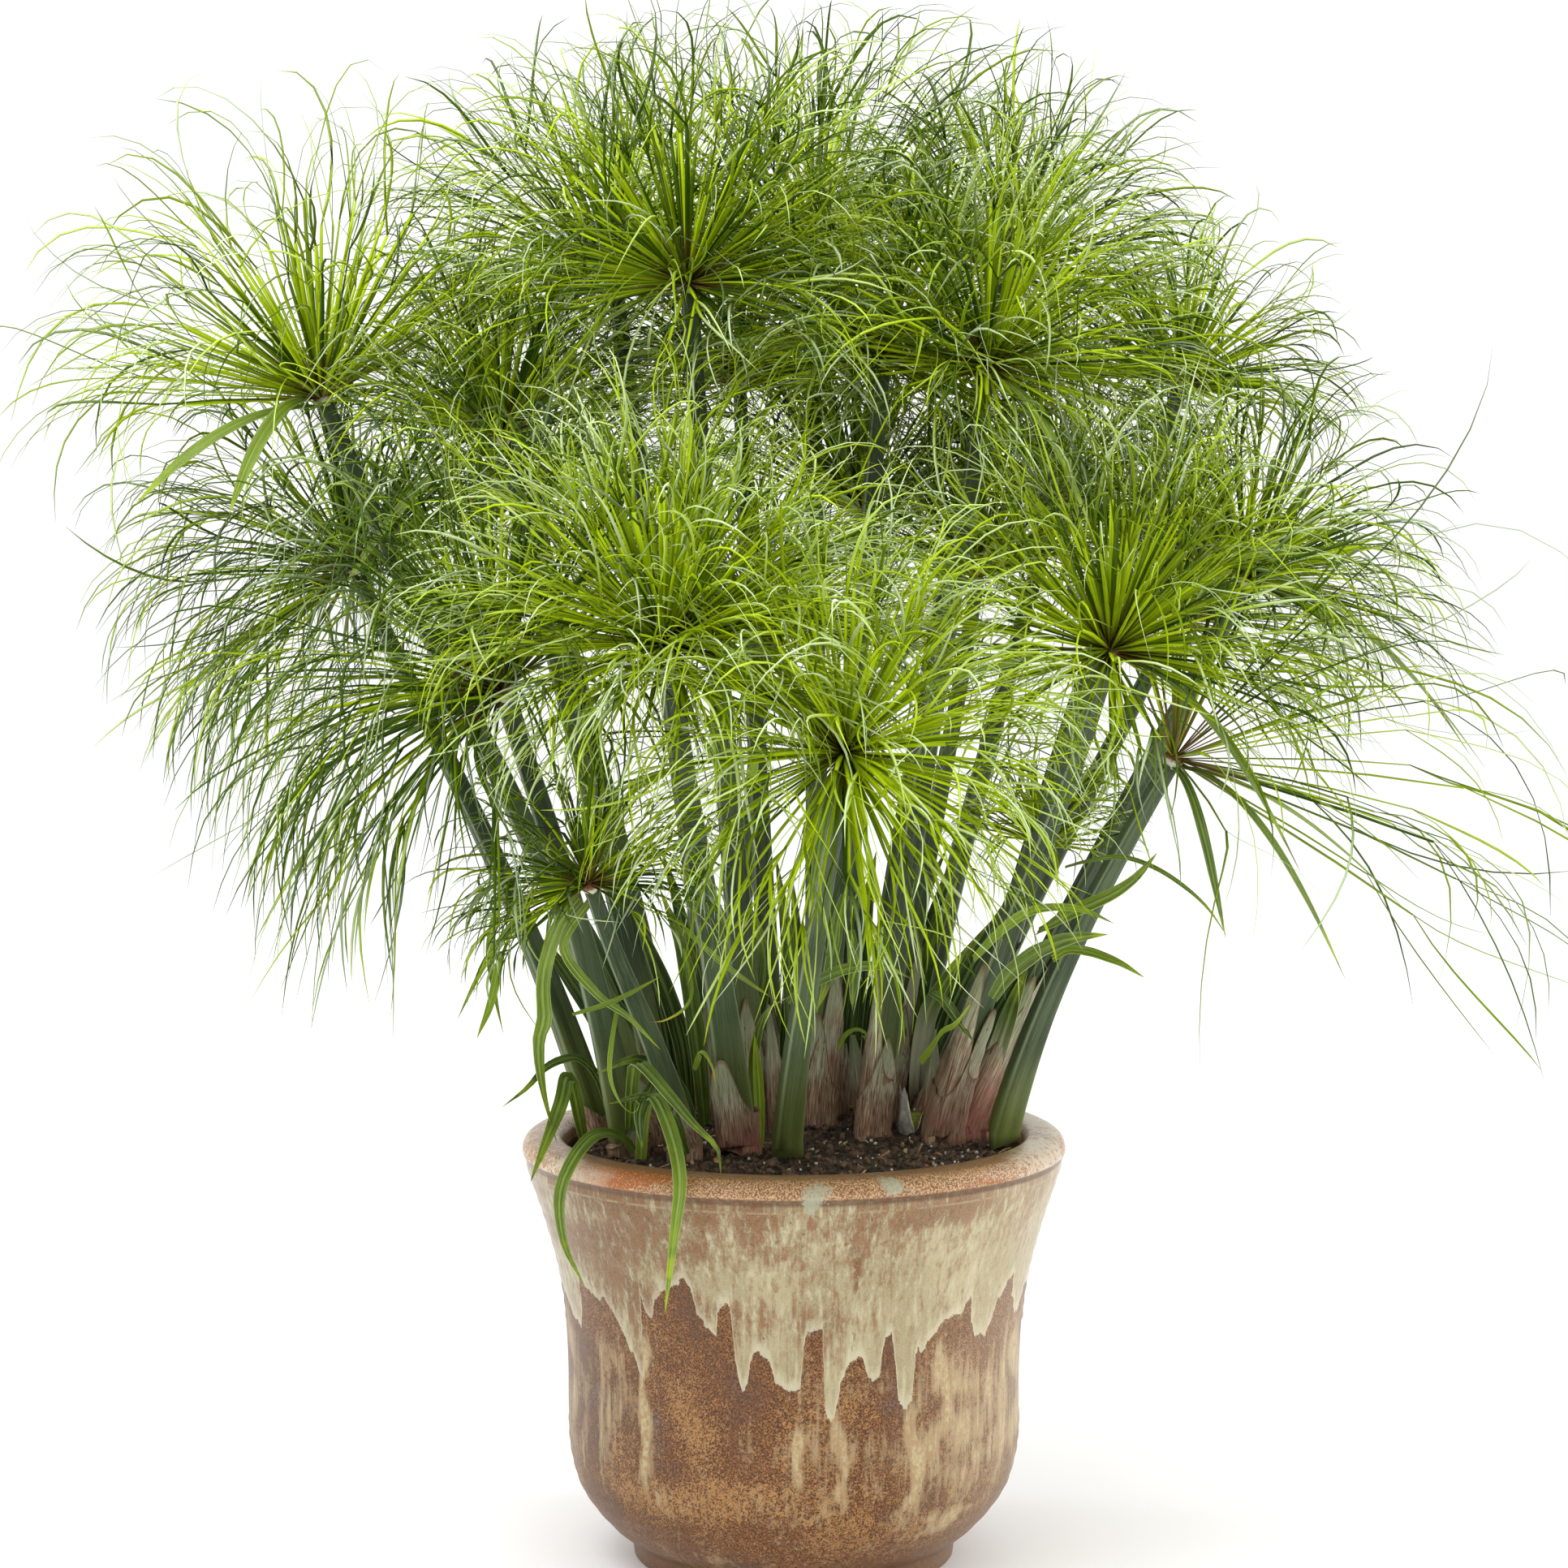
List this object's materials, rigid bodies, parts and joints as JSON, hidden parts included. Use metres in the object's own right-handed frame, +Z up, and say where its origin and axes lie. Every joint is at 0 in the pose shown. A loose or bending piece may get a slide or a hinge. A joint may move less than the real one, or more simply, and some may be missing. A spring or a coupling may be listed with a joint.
{
  "type": "potted papyrus plant",
  "caption": "Papyrus sedge in a flared glazed stoneware pot: three-sided leaning stems, each topped by a drooping mop of thread-like rays, for indoor or patio display.",
  "frame": {"origin": "centre of the flat underside of the pot, on the surface that it stands on", "axes": "+Z up along the pot's axis, -Y towards the viewer of the picture, +X to that viewer's right"},
  "size_m": [1.0202, 0.8993, 1.037],
  "materials": {
    "glazed_stoneware": "satin",
    "potting_soil": "matte",
    "stem_skin": "satin",
    "ray_green": "satin",
    "leaf_green": "satin"
  },
  "bodies": {
    "root": {"pot": "glazed_stoneware", "soil": "potting_soil", "stem_01": "stem_skin", "stem_02": "stem_skin", "stem_03": "stem_skin", "stem_04": "stem_skin", "stem_05": "stem_skin", "stem_06": "stem_skin", "stem_07": "stem_skin", "stem_08": "stem_skin", "stem_09": "stem_skin", "stem_10": "stem_skin", "stem_11": "stem_skin", "stem_12": "stem_skin", "stem_13": "stem_skin", "stem_14": "stem_skin", "stem_15": "stem_skin", "stem_16": "stem_skin", "stem_17": "stem_skin", "stem_18": "stem_skin", "stem_19": "stem_skin", "stem_20": "stem_skin", "stem_21": "stem_skin", "stem_22": "stem_skin", "stem_23": "stem_skin", "stem_24": "stem_skin", "stem_25": "stem_skin", "umbel_01": "ray_green", "umbel_02": "ray_green", "umbel_03": "ray_green", "umbel_04": "ray_green", "umbel_05": "ray_green", "umbel_06": "ray_green", "umbel_07": "ray_green", "umbel_08": "ray_green", "umbel_09": "ray_green", "umbel_10": "ray_green", "umbel_11": "ray_green", "umbel_12": "ray_green", "umbel_13": "ray_green", "umbel_14": "ray_green", "umbel_15": "ray_green", "umbel_16": "ray_green", "umbel_17": "ray_green", "umbel_18": "ray_green", "umbel_19": "ray_green", "umbel_20": "ray_green", "umbel_21": "ray_green", "umbel_22": "ray_green", "umbel_23": "ray_green", "umbel_24": "ray_green", "umbel_25": "ray_green", "basal_leaf_1": "leaf_green", "basal_leaf_2": "leaf_green", "basal_leaf_3": "leaf_green", "basal_leaf_4": "leaf_green", "basal_leaf_5": "leaf_green", "basal_leaf_6": "leaf_green"}
  },
  "joints": []
}
